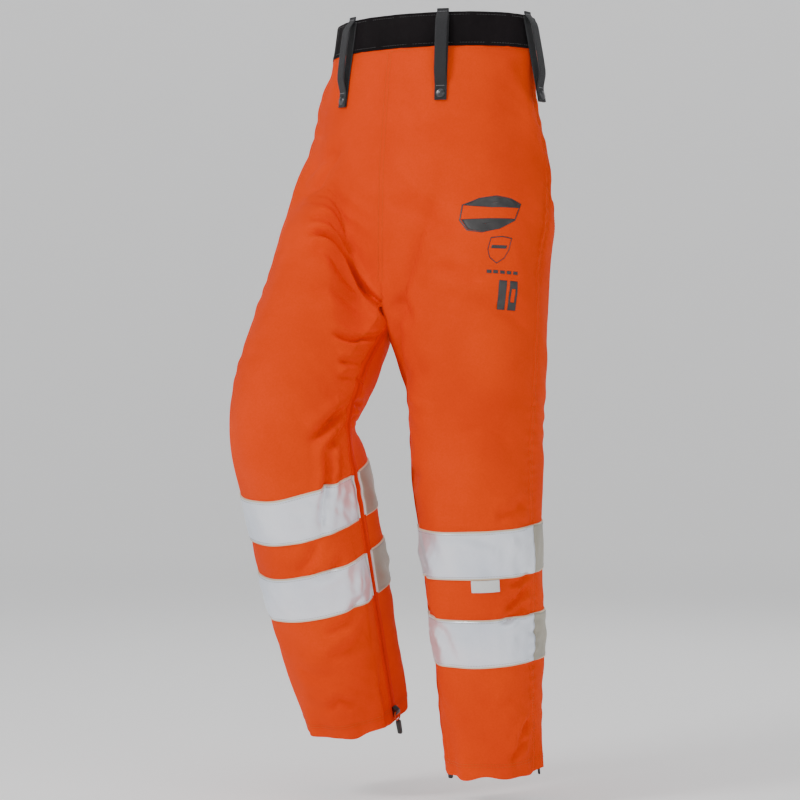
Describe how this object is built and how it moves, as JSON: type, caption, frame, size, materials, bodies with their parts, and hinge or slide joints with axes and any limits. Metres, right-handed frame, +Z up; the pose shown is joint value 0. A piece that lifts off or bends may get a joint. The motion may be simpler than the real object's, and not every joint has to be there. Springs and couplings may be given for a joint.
{
  "type": "chainsaw chaps",
  "caption": "Wrap-round protective leggings: waistband with belt loops and buckle, apron, padded hinged legs with inner zips and reflective tapes",
  "frame": {"origin": "centre of the waist opening, level with the waistband's top edge", "axes": "+Z up the garment as worn, -Y the wearer's front, +X the wearer's left"},
  "size_m": [0.3912, 0.4053, 1.0266],
  "materials": {
    "outer_cloth": "satin",
    "band_cloth": "matte",
    "webbing": "matte",
    "wadding": "matte",
    "lining_cloth": "matte",
    "reflective_tape": "satin",
    "zip_tape": "satin",
    "pull_cord": "matte",
    "hard_plastic": "matte",
    "stud_metal": "satin",
    "label_cloth": "matte"
  },
  "bodies": {
    "waist": {"waistband": "band_cloth", "apron_left_panel": "outer_cloth", "apron_right_panel": "outer_cloth", "apron_lining": "lining_cloth", "belt_loop_front_left_backing": "webbing", "belt_loop_front_right_backing": "webbing", "belt_loop_side_left_backing": "webbing", "belt_loop_side_right_backing": "webbing", "back_strap_left": "webbing", "buckle_socket": "hard_plastic", "strap_adjuster": "hard_plastic"},
    "belt_loop_front_left": {"belt_loop_front_left_strap": "webbing", "belt_loop_front_left_stud": "stud_metal"},
    "belt_loop_front_right": {"belt_loop_front_right_strap": "webbing", "belt_loop_front_right_stud": "stud_metal"},
    "belt_loop_side_left": {"belt_loop_side_left_strap": "webbing", "belt_loop_side_left_stud": "stud_metal"},
    "belt_loop_side_right": {"belt_loop_side_right_strap": "webbing", "belt_loop_side_right_stud": "stud_metal"},
    "buckle": {"buckle_plug": "hard_plastic", "back_strap_right": "webbing"},
    "latch_upper": {"buckle_latch_upper": "hard_plastic"},
    "latch_lower": {"buckle_latch_lower": "hard_plastic"},
    "right_thigh": {"right_thigh_front_panel": "outer_cloth", "right_thigh_pad": "wadding", "right_thigh_lining": "lining_cloth", "right_thigh_back_panel": "outer_cloth", "right_thigh_zip": "zip_tape"},
    "right_shank": {"right_shank_front_panel": "outer_cloth", "right_shank_pad": "wadding", "right_shank_lining": "lining_cloth", "right_shank_back_panel": "outer_cloth", "right_shank_zip": "zip_tape", "right_upper_tape_front": "reflective_tape", "right_upper_tape_back": "reflective_tape", "right_lower_tape_front": "reflective_tape", "right_lower_tape_back": "reflective_tape", "right_hem_tab": "webbing"},
    "right_slider": {"right_zip_slider": "stud_metal"},
    "right_pull": {"right_zip_pull_cord": "pull_cord", "right_zip_pull_grip": "hard_plastic"},
    "left_thigh": {"left_thigh_front_panel": "outer_cloth", "left_thigh_pad": "wadding", "left_thigh_lining": "lining_cloth", "left_thigh_back_panel": "outer_cloth", "left_thigh_zip": "zip_tape"},
    "left_shank": {"left_shank_front_panel": "outer_cloth", "left_shank_pad": "wadding", "left_shank_lining": "lining_cloth", "left_shank_back_panel": "outer_cloth", "left_shank_zip": "zip_tape", "left_upper_tape_front": "reflective_tape", "left_upper_tape_back": "reflective_tape", "left_lower_tape_front": "reflective_tape", "left_lower_tape_back": "reflective_tape", "left_hem_tab": "webbing", "care_label": "label_cloth"},
    "left_slider": {"left_zip_slider": "stud_metal"},
    "left_pull": {"left_zip_pull_cord": "pull_cord", "left_zip_pull_grip": "hard_plastic"}
  },
  "joints": [
    {"name": "right_hip", "type": "hinge", "parent": "waist", "child": "right_thigh", "pos_m": [-0.1, -0.03, -0.23], "axis": [-1, 0, 0], "range_deg": [-38, 32]},
    {"name": "right_knee", "type": "hinge", "parent": "right_thigh", "child": "right_shank", "pos_m": [-0.1, -0.18751, -0.54591], "axis": [1, 0, 0], "range_deg": [-36, 26]},
    {"name": "right_zip", "type": "slide", "parent": "right_shank", "child": "right_slider", "axis": [0.0521, -0.3334, 0.9414], "range_m": [0, 0.26]},
    {"name": "right_zip_pull", "type": "hinge", "parent": "right_slider", "child": "right_pull", "pos_m": [-0.02888, -0.05124, -0.93073], "axis": [0, -0.9426, -0.3338], "range_deg": [0, 170]},
    {"name": "left_hip", "type": "hinge", "parent": "waist", "child": "left_thigh", "pos_m": [0.1, -0.03, -0.23], "axis": [-1, 0, 0], "range_deg": [-16, 54]},
    {"name": "left_knee", "type": "hinge", "parent": "left_thigh", "child": "left_shank", "pos_m": [0.1, -0.05462, -0.58214], "axis": [1, 0, 0], "range_deg": [-6, 60]},
    {"name": "left_zip", "type": "slide", "parent": "left_shank", "child": "left_slider", "axis": [-0.0521, -0.1044, 0.9932], "range_m": [0, 0.26]},
    {"name": "left_zip_pull", "type": "hinge", "parent": "left_slider", "child": "left_pull", "pos_m": [0.02888, -0.01195, -0.98813], "axis": [0, 0.9945, 0.1045], "range_deg": [0, 170]},
    {"name": "belt_loop_front_left_flap", "type": "hinge", "parent": "waist", "child": "belt_loop_front_left", "pos_m": [0.0729, -0.08969, 0.00359], "axis": [-0.9269, -0.3753, 0], "range_deg": [0, 150]},
    {"name": "belt_loop_front_right_flap", "type": "hinge", "parent": "waist", "child": "belt_loop_front_right", "pos_m": [-0.0729, -0.08969, 0.00359], "axis": [-0.9269, 0.3753, 0], "range_deg": [0, 150]},
    {"name": "belt_loop_side_left_flap", "type": "hinge", "parent": "waist", "child": "belt_loop_side_left", "pos_m": [0.14622, 0, 0.00371], "axis": [0, -1, 0], "range_deg": [0, 150]},
    {"name": "belt_loop_side_right_flap", "type": "hinge", "parent": "waist", "child": "belt_loop_side_right", "pos_m": [-0.14622, 0, 0.00371], "axis": [0, 1, 0], "range_deg": [0, 150]},
    {"name": "buckle_slide", "type": "slide", "parent": "waist", "child": "buckle", "axis": [-1, 0, 0], "range_m": [0, 0.035]},
    {"name": "latch_upper_squeeze", "type": "hinge", "parent": "buckle", "child": "latch_upper", "pos_m": [0.0003, 0.1071, -0.008], "axis": [0, 1, 0], "range_deg": [0, 7], "stiffness_Nm_per_rad": 0.2},
    {"name": "latch_lower_squeeze", "type": "hinge", "parent": "buckle", "child": "latch_lower", "pos_m": [0.0003, 0.1071, -0.038], "axis": [0, -1, 0], "range_deg": [0, 7], "stiffness_Nm_per_rad": 0.2}
  ]
}
